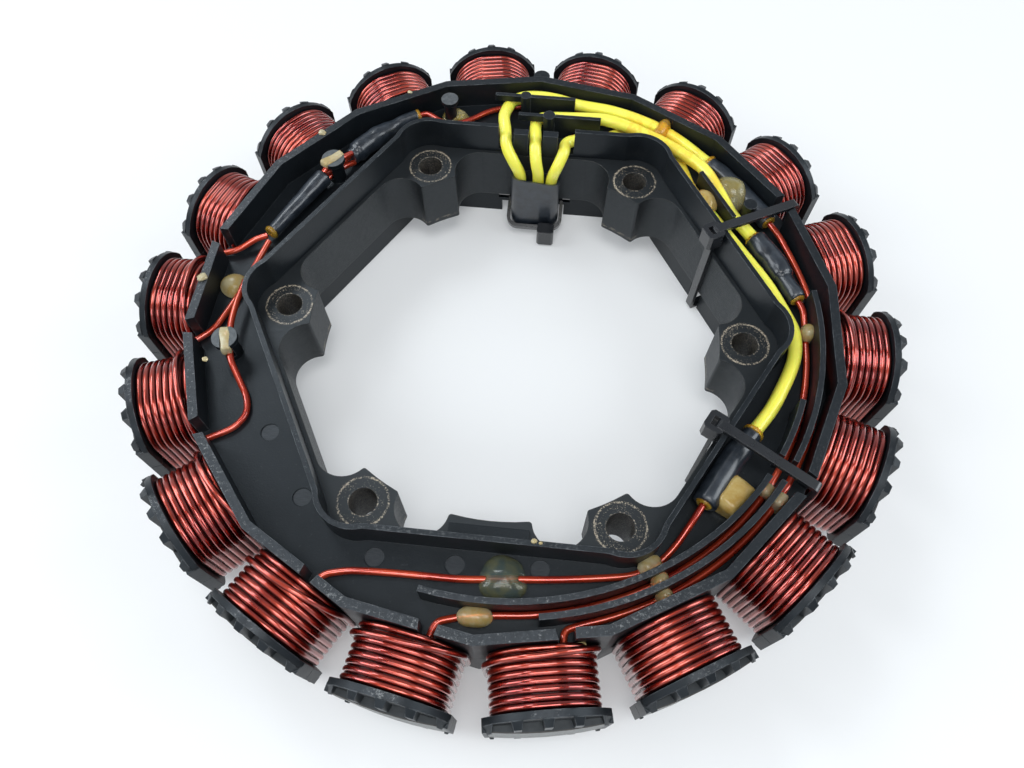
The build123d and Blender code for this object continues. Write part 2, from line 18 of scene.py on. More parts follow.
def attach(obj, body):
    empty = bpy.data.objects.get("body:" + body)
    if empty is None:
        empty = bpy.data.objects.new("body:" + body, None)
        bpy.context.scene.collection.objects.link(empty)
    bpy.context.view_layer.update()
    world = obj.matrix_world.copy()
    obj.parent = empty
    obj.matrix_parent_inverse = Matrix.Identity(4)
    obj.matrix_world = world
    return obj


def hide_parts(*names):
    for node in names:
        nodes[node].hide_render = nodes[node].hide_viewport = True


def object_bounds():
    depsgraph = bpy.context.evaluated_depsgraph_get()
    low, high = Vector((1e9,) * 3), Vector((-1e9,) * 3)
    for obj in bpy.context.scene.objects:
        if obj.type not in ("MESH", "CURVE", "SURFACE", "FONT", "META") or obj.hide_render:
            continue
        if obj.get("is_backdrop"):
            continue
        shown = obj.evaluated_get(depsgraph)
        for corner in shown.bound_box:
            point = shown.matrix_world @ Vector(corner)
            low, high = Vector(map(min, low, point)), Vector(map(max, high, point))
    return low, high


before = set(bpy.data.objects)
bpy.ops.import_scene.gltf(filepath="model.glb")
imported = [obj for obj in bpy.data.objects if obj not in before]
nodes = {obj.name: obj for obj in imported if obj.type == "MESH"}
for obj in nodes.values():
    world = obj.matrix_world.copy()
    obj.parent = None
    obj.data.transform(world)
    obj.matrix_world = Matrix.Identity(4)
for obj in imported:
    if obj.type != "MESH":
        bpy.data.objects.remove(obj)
cad_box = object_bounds()
scene = bpy.context.scene
mm = 0.001
print("CAD pieces:", len(nodes))

# %% [markdown]
# ## Helpers for node trees
# Shaders and Geometry Nodes are both trees of nodes. Writing each link by hand is long and easy
# to get wrong, so `put` adds one node and fills its inputs. An input takes either a plain value
# or the output of another node, and `put` tells the two apart. The others are short names for
# steps that come back all the time, such as a product of masks or a vector taken apart.

# %% Node helpers


def put(tree, kind, values=None, **settings):
    """Adds a node, sets its properties, and fills its inputs with values or links."""
    made = tree.nodes.new(kind)
    for key, value in settings.items():
        setattr(made, key, value)
    for key, value in (values or {}).items():
        if isinstance(value, bpy.types.NodeSocket):
            tree.links.new(value, made.inputs[key])
        else:
            made.inputs[key].default_value = value
    return made


def calc(tree, operation, *values, clamp=False):
    """One Math node; returns its output."""
    pairs = dict(enumerate(values))
    return put(tree, "ShaderNodeMath", pairs, operation=operation, use_clamp=clamp).outputs[0]


def product(tree, *values):
    """Multiplies values, from the first to the last."""
    result = values[0]
    for value in values[1:]:
        result = calc(tree, "MULTIPLY", result, value)
    return result


def highest(tree, *values):
    """The highest of some values, taken from the first to the last."""
    result = values[0]
    for value in values[1:]:
        result = calc(tree, "MAXIMUM", result, value)
    return result


def vector_math(tree, operation, values):
    """One Vector Math node; returns its outputs, the vector first and then the value."""
    return put(tree, "ShaderNodeVectorMath", values, operation=operation).outputs


def parts_of(tree, vector):
    """The three parts of a vector."""
    return put(tree, "ShaderNodeSeparateXYZ", {0: vector}).outputs


def vector_of(tree, x=0.0, y=0.0, z=0.0):
    """One vector from three values."""
    return put(tree, "ShaderNodeCombineXYZ", {0: x, 1: y, 2: z}).outputs[0]


# %% [markdown]
# ## Helpers for masks and colours
# A mask is a value from 0 to 1 that says where something shows. Most masks here start as a
# height, a distance or a noise, and `remap` cuts the wanted range out of it. Colours are then
# laid over each other through their masks, as a painter would glaze one layer on the next.

# %% Masks and colours


def remap(tree, value, low, high, to_low=0.0, to_high=1.0):
    """Maps a value from one range to another, clamped at both ends."""
    pairs = {0: value, 1: low, 2: high, 3: to_low, 4: to_high}
    return put(tree, "ShaderNodeMapRange", pairs, clamp=True).outputs[0]


def band(tree, value, middle, half):
    """1 where a value lies within half of the middle, falling to 0 at twice that."""
    away = calc(tree, "ABSOLUTE", calc(tree, "SUBTRACT", value, middle))
    return remap(tree, away, half * 2, half)


def noise(tree, vector, scale, detail=3.0, roughness=0.55):
    """Soft noise around 0.5; on Object coordinates its scale is in waves per metre."""
    pairs = {"Vector": vector, "Scale": scale, "Detail": detail, "Roughness": roughness}
    return put(tree, "ShaderNodeTexNoise", pairs).outputs["Fac"]


def distance_to(tree, place, spot):
    """Metres from a place to a spot that is given in mm."""
    return vector_math(tree, "DISTANCE", {0: place, 1: [v * mm for v in spot]})["Value"]


def upward(tree):
    """How far the surface faces up: 1 on a level top, 0 on an upright wall, -1 underneath."""
    return parts_of(tree, put(tree, "ShaderNodeNewGeometry").outputs["Normal"])[2]


def blend_colours(tree, factor, first, second):
    """Mixes two colours by a factor from 0 to 1."""
    made = put(tree, "ShaderNodeMix", {0: factor, 6: first, 7: second}, data_type="RGBA")
    return made.outputs[2]


def painted(tree, base, *layers):
    """Lays colours over a base, one after another, each given as (mask, colour)."""
    for mask, colour in layers:
        base = blend_colours(tree, mask, base, colour)
    return base


# %% [markdown]
# ## Helpers for node groups
# An effect that several materials share is built once, as a group with named inputs and
# outputs, and then placed in each of them with its own values. These three helpers make an
# empty group, fill its outputs, and place it.

# %% Node groups
vec, num, mat, geo = (f"NodeSocket{kind}" for kind in ("Vector", "Float", "Material", "Geometry"))


def new_group(name, kind, inputs, outputs):
    """An empty node group with its named sockets; returns (group, input node, output node)."""
    group = bpy.data.node_groups.new(name, kind)
    for in_out, sockets in (("INPUT", inputs), ("OUTPUT", outputs)):
        for label, socket_type, value in sockets:
            socket = group.interface.new_socket(label, in_out=in_out, socket_type=socket_type)
            if value is not None:
                socket.default_value = value
    return group, group.nodes.new("NodeGroupInput"), group.nodes.new("NodeGroupOutput")


def hand_out(group, result, **values):
    """Links values to the outputs of a group that have their names."""
    for label, value in values.items():
        group.links.new(value, result.inputs[label])


def use(tree, group, **values):
    """Places a shader group in a material; returns its outputs."""
    return put(tree, "ShaderNodeGroup", values, node_tree=group).outputs


# %% [markdown]
# ## Shader group: worn edges and painted edge highlights
# Handling rubs moulded plastic and paint pale along the sharp edges first. A Bevel node gives
# the normal that the surface would have with rounded edges, so where it differs from the true
# normal, an edge is near. Noise breaks the line up, because wear is never even. The group also
# hands out the rounded normal itself, so edges catch the light without any more faces.
# The Pointiness value could find edges too, but only on meshes with many small faces. On the
# plastic, the pale line it gives is partly wear and partly a painted highlight of glossy rounded edges.

# %% Edge wear


def make_edge_wear_and_highlight():
    inputs = [("Vector", vec, None), ("Radius", num, 0.32 * mm), ("Patchiness", num, 260.0)]
    outputs = [("Mask", num, None), ("Normal", vec, None)]
    group, given, result = new_group("edge_wear_and_highlight", "ShaderNodeTree", inputs, outputs)
    given = given.outputs
    rounded = put(group, "ShaderNodeBevel", {"Radius": given["Radius"]}, samples=4).outputs[0]
    true_normal = put(group, "ShaderNodeNewGeometry").outputs["Normal"]
    alike = vector_math(group, "DOT_PRODUCT", {0: rounded, 1: true_normal})["Value"]
    edge = remap(group, alike, 0.985, 0.86)
    patches = noise(group, given["Vector"], given["Patchiness"], 5.0, 0.7)
    broken = remap(group, patches, 0.40, 0.60)
    hand_out(group, result, Mask=product(group, edge, broken), Normal=rounded)
    return group


edge_wear_and_highlight = make_edge_wear_and_highlight()
print("group:", edge_wear_and_highlight.name)

# %% [markdown]
# ## Shader group: moulded surface
# Glass-filled plastic has a fine grain from the mould, pale specks where fibres reach the
# surface, and faint clouds. Three noises at three scales give these. The group hands out a
# tone for the colour and a height for the bump, so each material decides how strong they are.

# %% Moulded surface


def make_moulded():
    inputs = [("Vector", vec, None), ("Grain", num, 2400.0), ("Specks", num, 900.0)]
    outputs = [("Tone", num, None), ("Specks", num, None), ("Height", num, None)]
    group, given, result = new_group("moulded_surface", "ShaderNodeTree", inputs, outputs)
    given = given.outputs
    clouds = noise(group, given["Vector"], 45.0, 4.0, 0.6)
    grain = noise(group, given["Vector"], given["Grain"], 2.0, 0.5)
    speckle = noise(group, given["Vector"], given["Specks"], 3.0, 0.8)
    tone, specks = remap(group, clouds, 0.3, 0.7), remap(group, speckle, 0.62, 0.74)
    height = calc(group, "ADD", grain, product(group, clouds, 0.5))
    hand_out(group, result, Tone=tone, Specks=specks, Height=height)
    return group


moulded = make_moulded()
print("group:", moulded.name)

# %% [markdown]
# ## Shader group: distance from the nearest bolt hole
# Screw heads have rubbed a ring round every mounting hole. The six holes lie evenly on one
# circle, so the group folds the angle into a single sector, and then one distance serves all
# six. Painting six rings one by one would need six copies of the same nodes.

# %% Hole distance
bolt_circle_r, hole_count = 62.5, 6


def length_of(tree, x, y):
    """The length of a level vector."""
    squares = calc(tree, "ADD", product(tree, x, x), product(tree, y, y))
    return calc(tree, "SQRT", squares)


def make_hole_distance():
    """All three outputs are in mm: from the nearest hole, from the middle, and the height."""
    outputs = [("Distance", num, None), ("Radius", num, None), ("Z", num, None)]
    group, given, result = new_group(
        "hole_distance", "ShaderNodeTree", [("Vector", vec, None)], outputs
    )
    place = parts_of(group, given.outputs["Vector"])
    radius = product(group, length_of(group, place[0], place[1]), 1000.0)
    half_sector = math.radians(180 / hole_count)
    angle = calc(group, "ARCTAN2", place[1], place[0])
    folded = calc(group, "WRAP", angle, half_sector, -half_sector)
    outward = product(group, radius, calc(group, "COSINE", folded))
    along = calc(group, "SUBTRACT", outward, bolt_circle_r)
    across = product(group, radius, calc(group, "SINE", folded))
    height = product(group, place[2], 1000.0)
    hand_out(group, result, Distance=length_of(group, along, across), Radius=radius, Z=height)
    return group


hole_distance = make_hole_distance()
print("group:", hole_distance.name)

# %% [markdown]
# ## Materials
# Each material starts the same way: a Principled BSDF, and Object coordinates as the place to
# read the noises from. Every object sits at the origin unturned, so those coordinates are the
# real place on the part in metres, and grain has the same size on every piece.

# %% New materials
cool_tint = (0.86, 0.94, 1.0, 1)
# Painted shadow of the thin gap where the plastic meets the steel
seam_shadow_black = (0.002, 0.002, 0.002, 1)


def new_material(name, **values):
    """A material with plain values on its shader; returns it with its tree, inputs and place."""
    made = bpy.data.materials.new(name)
    made.use_nodes = True
    tree = made.node_tree
    shader = tree.nodes["Principled BSDF"].inputs
    for key, value in values.items():
        shader[key.replace("_", " ")].default_value = value
    return made, tree, shader, put(tree, "ShaderNodeTexCoord").outputs["Object"]


def feed(tree, shader, **values):
    """Links values that change over the surface to the shader's inputs."""
    for key, value in values.items():
        tree.links.new(value, shader[key.replace("_", " ")])


def bump(tree, shader, height, distance, strength, normal=None):
    """Small relief, on top of a normal where one is given."""
    pairs = {"Height": height, "Distance": distance, "Strength": strength}
    if normal:
        pairs["Normal"] = normal
    feed(tree, shader, Normal=put(tree, "ShaderNodeBump", pairs).outputs[0])


# %% [markdown]
# ## Masks for the insulator plastic
# The tops of walls and ribs are rubbed and finely scratched, and are painted paler as a
# reflection of the sky. Both are strongest on the lit front-left side, which was also handled,
# and weaker on the inner wall. Three posts have flattened heads, rubbed paler still.
# Ejector pins have left level discs in the trough, paler and finely brushed. Each of these is
# a mask of its own, so that where it lies, how strong it is and its colour stay apart.

# %% Insulator masks
wall_top_z, disc_z, foot_z, floor_z = 36.4, 27.9, 27.3, 28.0
post_heads = ((-27.25, 72.88, 2.7), (-58.07, 45.86, 3.3), (-73.12, -17.15, 3.3))


def lit_and_handled_side(tree, place):
    """1 on the front-left side, where the tops are worn most and painted paler as lit, low on the other, and
    lower on the inner wall.
    """
    spot = parts_of(tree, place)
    side = remap(tree, calc(tree, "ADD", spot[0], spot[1]), 0.0, -60 * mm, 0.12, 1.0)
    flat = vector_math(tree, "MULTIPLY", {0: place, 1: (1, 1, 0)})["Vector"]
    outward = vector_math(tree, "LENGTH", {0: flat})["Value"]
    return product(tree, side, remap(tree, outward, 72 * mm, 78 * mm, 0.4, 1.0))


def scratches(tree, place):
    """Fine marks, many in some patches and few in others."""
    patches = remap(tree, noise(tree, place, 30.0, 2.0), 0.42, 0.6, 0.015, -0.03)
    fine = noise(tree, place, 1100.0, 7.0, 0.85)
    return remap(tree, calc(tree, "ADD", fine, patches), 0.545, 0.60)


def discs(tree, place, level, height):
    """Level discs in the trough, with marks drawn out in one direction."""
    drawn_out = vector_math(tree, "MULTIPLY", {0: place, 1: (500.0, 4200.0, 1.0)})["Vector"]
    marks = remap(tree, noise(tree, drawn_out, 1.0, 2.0), 0.3, 0.7, 0.45, 0.9)
    return product(tree, level, band(tree, height, disc_z, 0.1), marks)


def heads(tree, place, level_top, scuffs):
    """The flattened heads of the posts."""
    found = 0.0
    for x, y, radius in post_heads:
        gap = distance_to(tree, place, (x, y, wall_top_z))
        inside = remap(tree, gap, (radius + 0.4) * mm, (radius + 0.2) * mm)
        found = calc(tree, "MAXIMUM", found, inside)
    return product(tree, found, level_top, remap(tree, scuffs, 0, 1, 0.5, 0.9))


# %% [markdown]
# ## Material: insulator plastic
# The two insulator halves are black glass-filled plastic. Flat black would lose the shape of
# the walls: their paler tops and edges are what makes them read. The tops are partly rubbed and
# partly a painted reflection of the sky, palest on the lit front-left side. The pale edges are
# partly wear and partly a painted highlight. A dark seam where the plastic
# meets the steel stands for the shadow of a gap that is too thin to model.

# %% Insulator plastic


def insulator_material():
    made, tree, shader, place = new_material(
        "insulator_plastic", IOR=1.45, Specular_IOR_Level=0.42, Specular_Tint=cool_tint
    )
    surface = use(tree, moulded, Vector=place)
    edges = use(tree, edge_wear_and_highlight, Vector=place)
    z = parts_of(tree, place)[2]
    height = product(tree, z, 1000.0)
    level = remap(tree, upward(tree), 0.9, 0.98)
    level_top = product(tree, level, remap(tree, z, 35.3 * mm, 35.8 * mm))
    top = product(tree, level_top, lit_and_handled_side(tree, place))
    scuffs = remap(tree, noise(tree, place, 900.0, 5.0, 0.7), 0.40, 0.65)
    above_floor = calc(tree, "SUBTRACT", 1.0, band(tree, height, floor_z, 0.3))
    # Edge mask: partly worn edges, partly a painted highlight along the glossy rounded edges
    wear_and_edge_highlight = product(tree, edges["Mask"], above_floor)
    upright = remap(tree, calc(tree, "ABSOLUTE", level), 0.1, 0.0)
    tone = blend_colours(
        tree, surface["Tone"], (0.0048, 0.0064, 0.0082, 1), (0.0098, 0.0124, 0.0152, 1)
    )
    base = painted(
        tree, tone,
        # Pale fibres. Paler tops, partly rubbed and partly a painted reflection of the sky, with
        # their scuffs and scratches. Pale edges, partly worn and partly a painted highlight
        (product(tree, surface["Specks"], 0.28), (0.06, 0.065, 0.07, 1)),
        (product(tree, top, 0.7), (0.032, 0.035, 0.039, 1)),
        (product(tree, top, scuffs, 0.3), (0.062, 0.070, 0.079, 1)),
        (product(tree, top, scratches(tree, place), 0.6), (0.33, 0.34, 0.34, 1)),
        (product(tree, wear_and_edge_highlight, 0.6), (0.24, 0.26, 0.275, 1)),
        # Ejector discs, the painted shadow of the seam above the steel, and the heads of the posts
        (discs(tree, place, level, height), (0.042, 0.046, 0.051, 1)),
        (product(tree, band(tree, height, foot_z, 0.1), upright, 0.8), seam_shadow_black),
        (heads(tree, place, level_top, scuffs), (0.115, 0.125, 0.130, 1)),
    )
    clouded = remap(tree, surface["Tone"], 0, 1, 0.34, 0.46)
    rough = calc(tree, "ADD", clouded, product(tree, wear_and_edge_highlight, 0.15))
    feed(tree, shader, Base_Color=base, Roughness=rough)
    bump(tree, shader, surface["Height"], 0.05 * mm, 0.6, edges["Normal"])
    return made


plastic = insulator_material()
print("material:", plastic.name)

# %% [markdown]
# ## Masks for the coated laminations
# Screw heads have rubbed the coating off in broken arcs round each bolt hole, with specks
# between them. The distance from the hole is made ragged by noise before a ring is cut from
# it, and a finer noise then lets only some of the ring through. Inside the stack, two level
# lines have been scraped bare.

# %% Lamination masks


def worn_rings(tree, place, distance, blotches, grit):
    """Broken arcs, specks and the rim of the hole; each row is one ring, in mm."""
    wander = product(tree, calc(tree, "SUBTRACT", blotches, 0.5), 0.9)
    ragged = calc(tree, "ADD", distance, wander)
    patches = remap(tree, noise(tree, place, 190.0, 3.0, 0.6), 0.40, 0.60, 0.05, -0.03)
    gritty = calc(tree, "SUBTRACT", grit, patches)
    rings = (
        # Measured by, middle, half of its width, and the grit from which it shows
        (ragged, 6.25, 0.16, 0.45, 0.54),
        (ragged, 5.2, 0.12, 0.58, 0.64),
        (distance, 5.3, 0.9, 0.60, 0.66),
        (distance, 3.7, 0.10, 0.52, 0.60),
    )
    return highest(tree, *(
        product(tree, band(tree, measure, middle, half), remap(tree, gritty, low, high))
        for measure, middle, half, low, high in rings
    ))


def scraped_lines(tree, place, hole, upright):
    """Two level lines round the inside of the stack, broken by noise."""
    lines = highest(tree, band(tree, hole["Z"], 10.35, 0.07), band(tree, hole["Z"], 10.85, 0.06))
    inside = remap(tree, hole["Radius"], 58.5, 57.5)
    broken = remap(tree, noise(tree, place, 520.0, 5.0, 0.8), 0.47, 0.55)
    return product(tree, lines, upright, inside, broken)


# %% [markdown]
# ## Material: coated laminations
# The core is a stack of thin sheets of steel, coated black. The sheets show on the upright
# walls as fine level lines, made here from a wave of the height. The pole faces are ground
# bare, so only they are metallic. The walls of the bolt holes are dark and gritty. A dark band
# where the steel meets the plastic is a painted shadow of the thin gap there.

# %% Coated laminations
wave_length, wear_tint = 0.5, (0.48, 0.41, 0.31, 1)
pole_face_r, hole_r, steel_top_z = 101.7, 3.6, 27.15


def bare_steel(tree, blotches, grit, sheets, hole_wall):
    """Ground steel with dark lines between the sheets, and rough walls in the holes."""
    ground = blend_colours(
        tree, remap(tree, blotches, 0.35, 0.65), (0.20, 0.19, 0.175, 1), (0.32, 0.305, 0.285, 1)
    )
    rough_wall = blend_colours(
        tree, remap(tree, grit, 0.45, 0.68), (0.022, 0.020, 0.018, 1), (0.17, 0.15, 0.12, 1)
    )
    dark_lines = (remap(tree, sheets, 0.55, 0.2), (0.07, 0.065, 0.06, 1))
    return painted(tree, ground, dark_lines, (hole_wall, rough_wall))


def core_material():
    made, tree, shader, place = new_material(
        "core_steel", Specular_IOR_Level=0.55, Specular_Tint=cool_tint
    )
    surface = use(tree, moulded, Vector=place, Grain=1500.0, Specks=700.0)
    edges = use(tree, edge_wear_and_highlight, Vector=place, Radius=0.4 * mm)
    hole = use(tree, hole_distance, Vector=place)
    tilt = calc(tree, "ABSOLUTE", upward(tree))
    upright, level = remap(tree, tilt, 0.5, 0.2), remap(tree, tilt, 0.8, 0.95)
    phase = product(tree, hole["Z"], 2 * math.pi / wave_length)
    wave = calc(tree, "POWER", calc(tree, "ABSOLUTE", calc(tree, "SINE", phase)), 0.5)
    sheets = product(tree, wave, upright)
    pole_face = remap(tree, hole["Radius"], pole_face_r, pole_face_r + 0.15)
    hole_wall = product(tree, remap(tree, hole["Distance"], hole_r + 0.15, hole_r), upright)
    blotches = noise(tree, place, 700.0, 6.0, 0.75)
    grit = noise(tree, place, 2600.0, 4.0, 0.7)
    rings = worn_rings(tree, place, hole["Distance"], blotches, grit)
    lines = scraped_lines(tree, place, hole, upright)
    worn = highest(tree, product(tree, rings, level), lines)
    # Painted shadow of the gap below the plastic
    seam_shadow = product(tree, band(tree, hole["Z"], steel_top_z, 0.12), upright, 0.8)
    tone = blend_colours(
        tree, surface["Tone"], (0.0080, 0.0098, 0.0112, 1), (0.0150, 0.0172, 0.0190, 1)
    )
    base = painted(
        tree, tone,
        # Worn edges, rings and lines, bare steel, and the painted shadow of the seam below the plastic
        (product(tree, edges["Mask"], 0.55), (0.16, 0.15, 0.13, 1)),
        (product(tree, worn, 0.9), wear_tint),
        (highest(tree, pole_face, hole_wall), bare_steel(tree, blotches, grit, sheets, hole_wall)),
        (seam_shadow, seam_shadow_black),
    )
    rough = remap(tree, blotches, 0.3, 0.7, 0.38, 0.52)
    feed(tree, shader, Base_Color=base, Metallic=product(tree, pole_face, 0.6), Roughness=rough)
    height = calc(tree, "ADD", product(tree, surface["Height"], 0.4), sheets)
    bump(tree, shader, height, 0.05 * mm, 0.8, edges["Normal"])
    return made


steel = core_material()
print("material:", steel.name)

# %% [markdown]
# ## Materials: enamelled wire
# Magnet wire is copper under clear red enamel. The copper is metallic and the enamel is a
# coat on top of it, which gives two highlights: a broad warm one and a sharp white one. Noise
# darkens some stretches. The turns carry an attribute, gap, that is high on the flanks which
# face the next turn: little light comes back from there, so they get painted shade. The loose
# wires are brighter and less metallic, and the layer below the turns is nearly black as painted
# shade between the turns.

# %% Enamelled wire
painted_gap_shade = (0.11, 0.007, 0.005, 1)


def wire_material(name, dark, bright, metallic):
    """One kind of enamelled wire, from two tones and how metallic it looks."""
    made, tree, shader, place = new_material(
        name, Metallic=metallic, Coat_Weight=1.0, Coat_Roughness=0.08, Coat_IOR=1.7
    )
    clouds = remap(tree, noise(tree, place, 110.0, 1.0, 0.5), 0.3, 0.7)
    gap = put(tree, "ShaderNodeAttribute", attribute_name="gap").outputs["Fac"]
    enamel_tone = blend_colours(tree, clouds, dark, bright)
    base = painted(tree, enamel_tone, (remap(tree, gap, 0.45, 1.0), painted_gap_shade))
    feed(tree, shader, Base_Color=base, Roughness=remap(tree, clouds, 0, 1, 0.25, 0.32))
    return made


enamel = wire_material("enamelled_wire", (0.30, 0.014, 0.008, 1), (0.58, 0.072, 0.036, 1), 1.0)
loose_enamel = wire_material("loose_wire", (0.48, 0.030, 0.012, 1), (0.72, 0.080, 0.026, 1), 0.6)
# The layer under the turns is nearly black: painted shade in the grooves between the turns
inner_layer_as_shade = wire_material("inner_layer_as_shade", (0.045, 0.004, 0.003, 1), (0.10, 0.010, 0.007, 1), 0.7)
print("materials:", enamel.name, loose_enamel.name, inner_layer_as_shade.name)

# %% [markdown]
# ## Material: yellow leads
# Silicone insulation is bright, soft and a little translucent, so light gathers at bends. A
# touch of subsurface gives that, and a thin coat its soft shine. Orange smears of old adhesive
# lie here and there, and closer together at two spots where the leads are stuck down.

# %% Yellow leads
stuck_spots = ((34.6, 66.5, 34.4), (46.7, 52.7, 33.4))


def lead_material():
    made, tree, shader, place = new_material(
        "lead_yellow", Subsurface_Weight=0.15, Subsurface_Scale=0.002, Coat_Weight=0.4,
        Coat_Roughness=0.14,
    )
    patches = remap(tree, noise(tree, place, 95.0, 5.0, 0.65), 0.35, 0.75)
    smears = remap(tree, noise(tree, place, 210.0, 5.0, 0.7), 0.63, 0.74)
    stains = remap(tree, noise(tree, place, 170.0, 4.0, 0.6), 0.43, 0.57)
    for spot in stuck_spots:
        near = remap(tree, distance_to(tree, place, spot), 13 * mm, 5 * mm)
        stained = product(tree, near, stains, 2.0)
        smears = calc(tree, "MAXIMUM", smears, stained, clamp=True)
    tone = blend_colours(tree, patches, (0.98, 0.94, 0.13, 1), (0.95, 0.87, 0.07, 1))
    base = painted(tree, tone, (product(tree, smears, 0.5), (0.88, 0.50, 0.03, 1)))
    feed(tree, shader, Base_Color=base, Roughness=remap(tree, patches, 0, 1, 0.26, 0.38))
    bump(tree, shader, noise(tree, place, 400.0, 3.0), 0.10 * mm, 0.5)
    return made


yellow = lead_material()
print("material:", yellow.name)

# %% [markdown]
# ## Materials: shrink tube and nylon
# Shrink tube is satin black with soft wrinkles along it, which its bump carries. Its paler
# bluish tone on the crests of the same waves is partly the tube's colour and partly a painted
# sheen. The ties are plain black nylon, with a thin coat for their shine and the rounded normal
# of the edge group, so that their square edges catch a line of light.

# %% Shrink tube and nylon


def tube_material():
    made, tree, shader, place = new_material("shrink_tube", Coat_Weight=0.6, Coat_Roughness=0.18)
    waves = noise(tree, place, 330.0, 3.0, 0.6)
    # Paler bluish tone on the wave crests: partly the tube's colour, partly a painted sheen
    base = blend_colours(
        tree, remap(tree, waves, 0.35, 0.65), (0.010, 0.014, 0.020, 1), (0.026, 0.034, 0.045, 1)
    )
    feed(tree, shader, Base_Color=base, Roughness=remap(tree, waves, 0.3, 0.7, 0.30, 0.46))
    bump(tree, shader, waves, 0.18 * mm, 0.5)
    return made


def tie_material():
    made, tree, shader, place = new_material(
        "tie_black", Specular_IOR_Level=0.7, Coat_Weight=0.3, Coat_Roughness=0.12
    )
    edges = use(tree, edge_wear_and_highlight, Vector=place, Radius=0.25 * mm)
    clouds = remap(tree, noise(tree, place, 60.0), 0.3, 0.7)
    base = blend_colours(tree, clouds, (0.007, 0.008, 0.010, 1), (0.013, 0.015, 0.018, 1))
    rough = remap(tree, noise(tree, place, 300.0), 0.3, 0.7, 0.26, 0.31)
    feed(tree, shader, Base_Color=base, Roughness=rough)
    bump(tree, shader, noise(tree, place, 1200.0, 1.0), 0.01 * mm, 0.3, edges["Normal"])
    return made


shrink, nylon = tube_material(), tie_material()
print("materials:", shrink.name, nylon.name)

# %% [markdown]
# ## Materials: adhesive
# The adhesive is a resin: part of the light passes through it and part scatters. It differs
# from place to place, from clear and grey-green to amber, cream and orange. One function makes
# all kinds from two colours and the share of light that passes.

# %% Adhesive


def adhesive_material(name, pale, deep, passes):
    """One kind of adhesive; passes is the share of light that goes through it."""
    made, tree, shader, place = new_material(name, Transmission_Weight=passes, IOR=1.45)
    clouds = remap(tree, noise(tree, place, 330.0, 4.0, 0.6), 0.40, 0.62)
    base = blend_colours(tree, clouds, pale, deep)
    feed(tree, shader, Base_Color=base, Roughness=remap(tree, clouds, 0, 1, 0.12, 0.24))
    bump(tree, shader, noise(tree, place, 260.0, 1.0), 0.15 * mm, 0.4)
    return made


adhesive_kinds = (
    ("adhesive_amber", (0.92, 0.80, 0.46, 1), (0.82, 0.60, 0.20, 1), 0.6),
    ("adhesive_deep", (0.94, 0.70, 0.26, 1), (0.80, 0.50, 0.12, 1), 0.55),
    ("adhesive_clear", (0.96, 0.89, 0.54, 1), (0.94, 0.72, 0.18, 1), 0.78),
    ("adhesive_glassy", (0.20, 0.27, 0.25, 1), (0.42, 0.42, 0.22, 1), 0.80),
    ("adhesive_cream", (0.82, 0.74, 0.48, 1), (0.70, 0.55, 0.26, 1), 0.45),
    ("adhesive_orange", (0.97, 0.62, 0.08, 1), (0.84, 0.40, 0.03, 1), 0.7),
)
amber, deep_amber, clear_yellow, glassy, cream, orange = (
    adhesive_material(*kind) for kind in adhesive_kinds
)
print("kinds of adhesive:", len(adhesive_kinds))

# %% [markdown]
# ## Materials onto the CAD pieces
# The names of the CAD nodes say what each is made of, so the first word picks the material.
# The two pieces of the harness share that word and differ, so they are named in full.

# %% Dress the CAD pieces
finish_of = {
    "lamination": steel, "upper": plastic, "lower": plastic, "coil": inner_layer_as_shade,
    "link": loose_enamel, "star": loose_enamel, "phase": yellow, "ring": nylon,
    "harness_tie": nylon, "harness_sleeve": shrink, "splice": shrink, "adhesive": amber,
}
for name, piece in nodes.items():
    key = name if name in finish_of else name.split("_")[0]
    for holder in piece.material_slots:
        holder.material = finish_of[key]
print("CAD pieces dressed:", len(nodes))

# %% [markdown]
# ## Helpers for Geometry Nodes
# Three groups follow, and each ends the same way: smooth shading, instances made real and one
# material, because an export drops instances. A group is run on an empty mesh, and its result
# is kept as a plain mesh. The modifier and the empty mesh's object are then removed.

# %% Geometry Nodes helpers


def end_group(group, geometry, material, result):
    """Smooth shading, real instances and a material, linked to the group's output."""
    smooth = put(group, "GeometryNodeSetShadeSmooth", {"Geometry": geometry})
    whole = put(group, "GeometryNodeRealizeInstances", {"Geometry": smooth.outputs[0]})
    pairs = {"Geometry": whole.outputs[0], "Material": material}
    final = put(group, "GeometryNodeSetMaterial", pairs)
    hand_out(group, result, Geometry=final.outputs[0])


def lumpy(group, geometry, scale, detail, reach):
    """Pushes a surface in and out along its normal by noise, up to half of reach each way."""
    here = put(group, "GeometryNodeInputPosition").outputs[0]
    lump = calc(group, "SUBTRACT", noise(group, here, scale, detail), 0.5)
    normal = put(group, "GeometryNodeInputNormal").outputs[0]
    push = vector_math(group, "SCALE", {0: normal, "Scale": product(group, lump, reach)})
    pairs = {"Geometry": geometry, "Offset": push["Vector"]}
    return put(group, "GeometryNodeSetPosition", pairs).outputs[0]


def grow(name, group, **values):
    """Runs a Geometry Nodes group on an empty mesh and keeps the result as a plain mesh object."""
    seed = bpy.data.objects.new(name + "_seed", bpy.data.meshes.new(name + "_seed"))
    scene.collection.objects.link(seed)
    modifier = seed.modifiers.new("grow", "NODES")
    modifier.node_group = group
    for item in group.interface.items_tree:
        if item.in_out == "INPUT" and item.name in values:
            modifier[item.identifier] = values[item.name]
    shown = bpy.context.evaluated_depsgraph_get()
    mesh = bpy.data.meshes.new_from_object(seed.evaluated_get(shown))
    bpy.data.objects.remove(seed)
    grown = bpy.data.objects.new(name, mesh)
    scene.collection.objects.link(grown)
    return grown


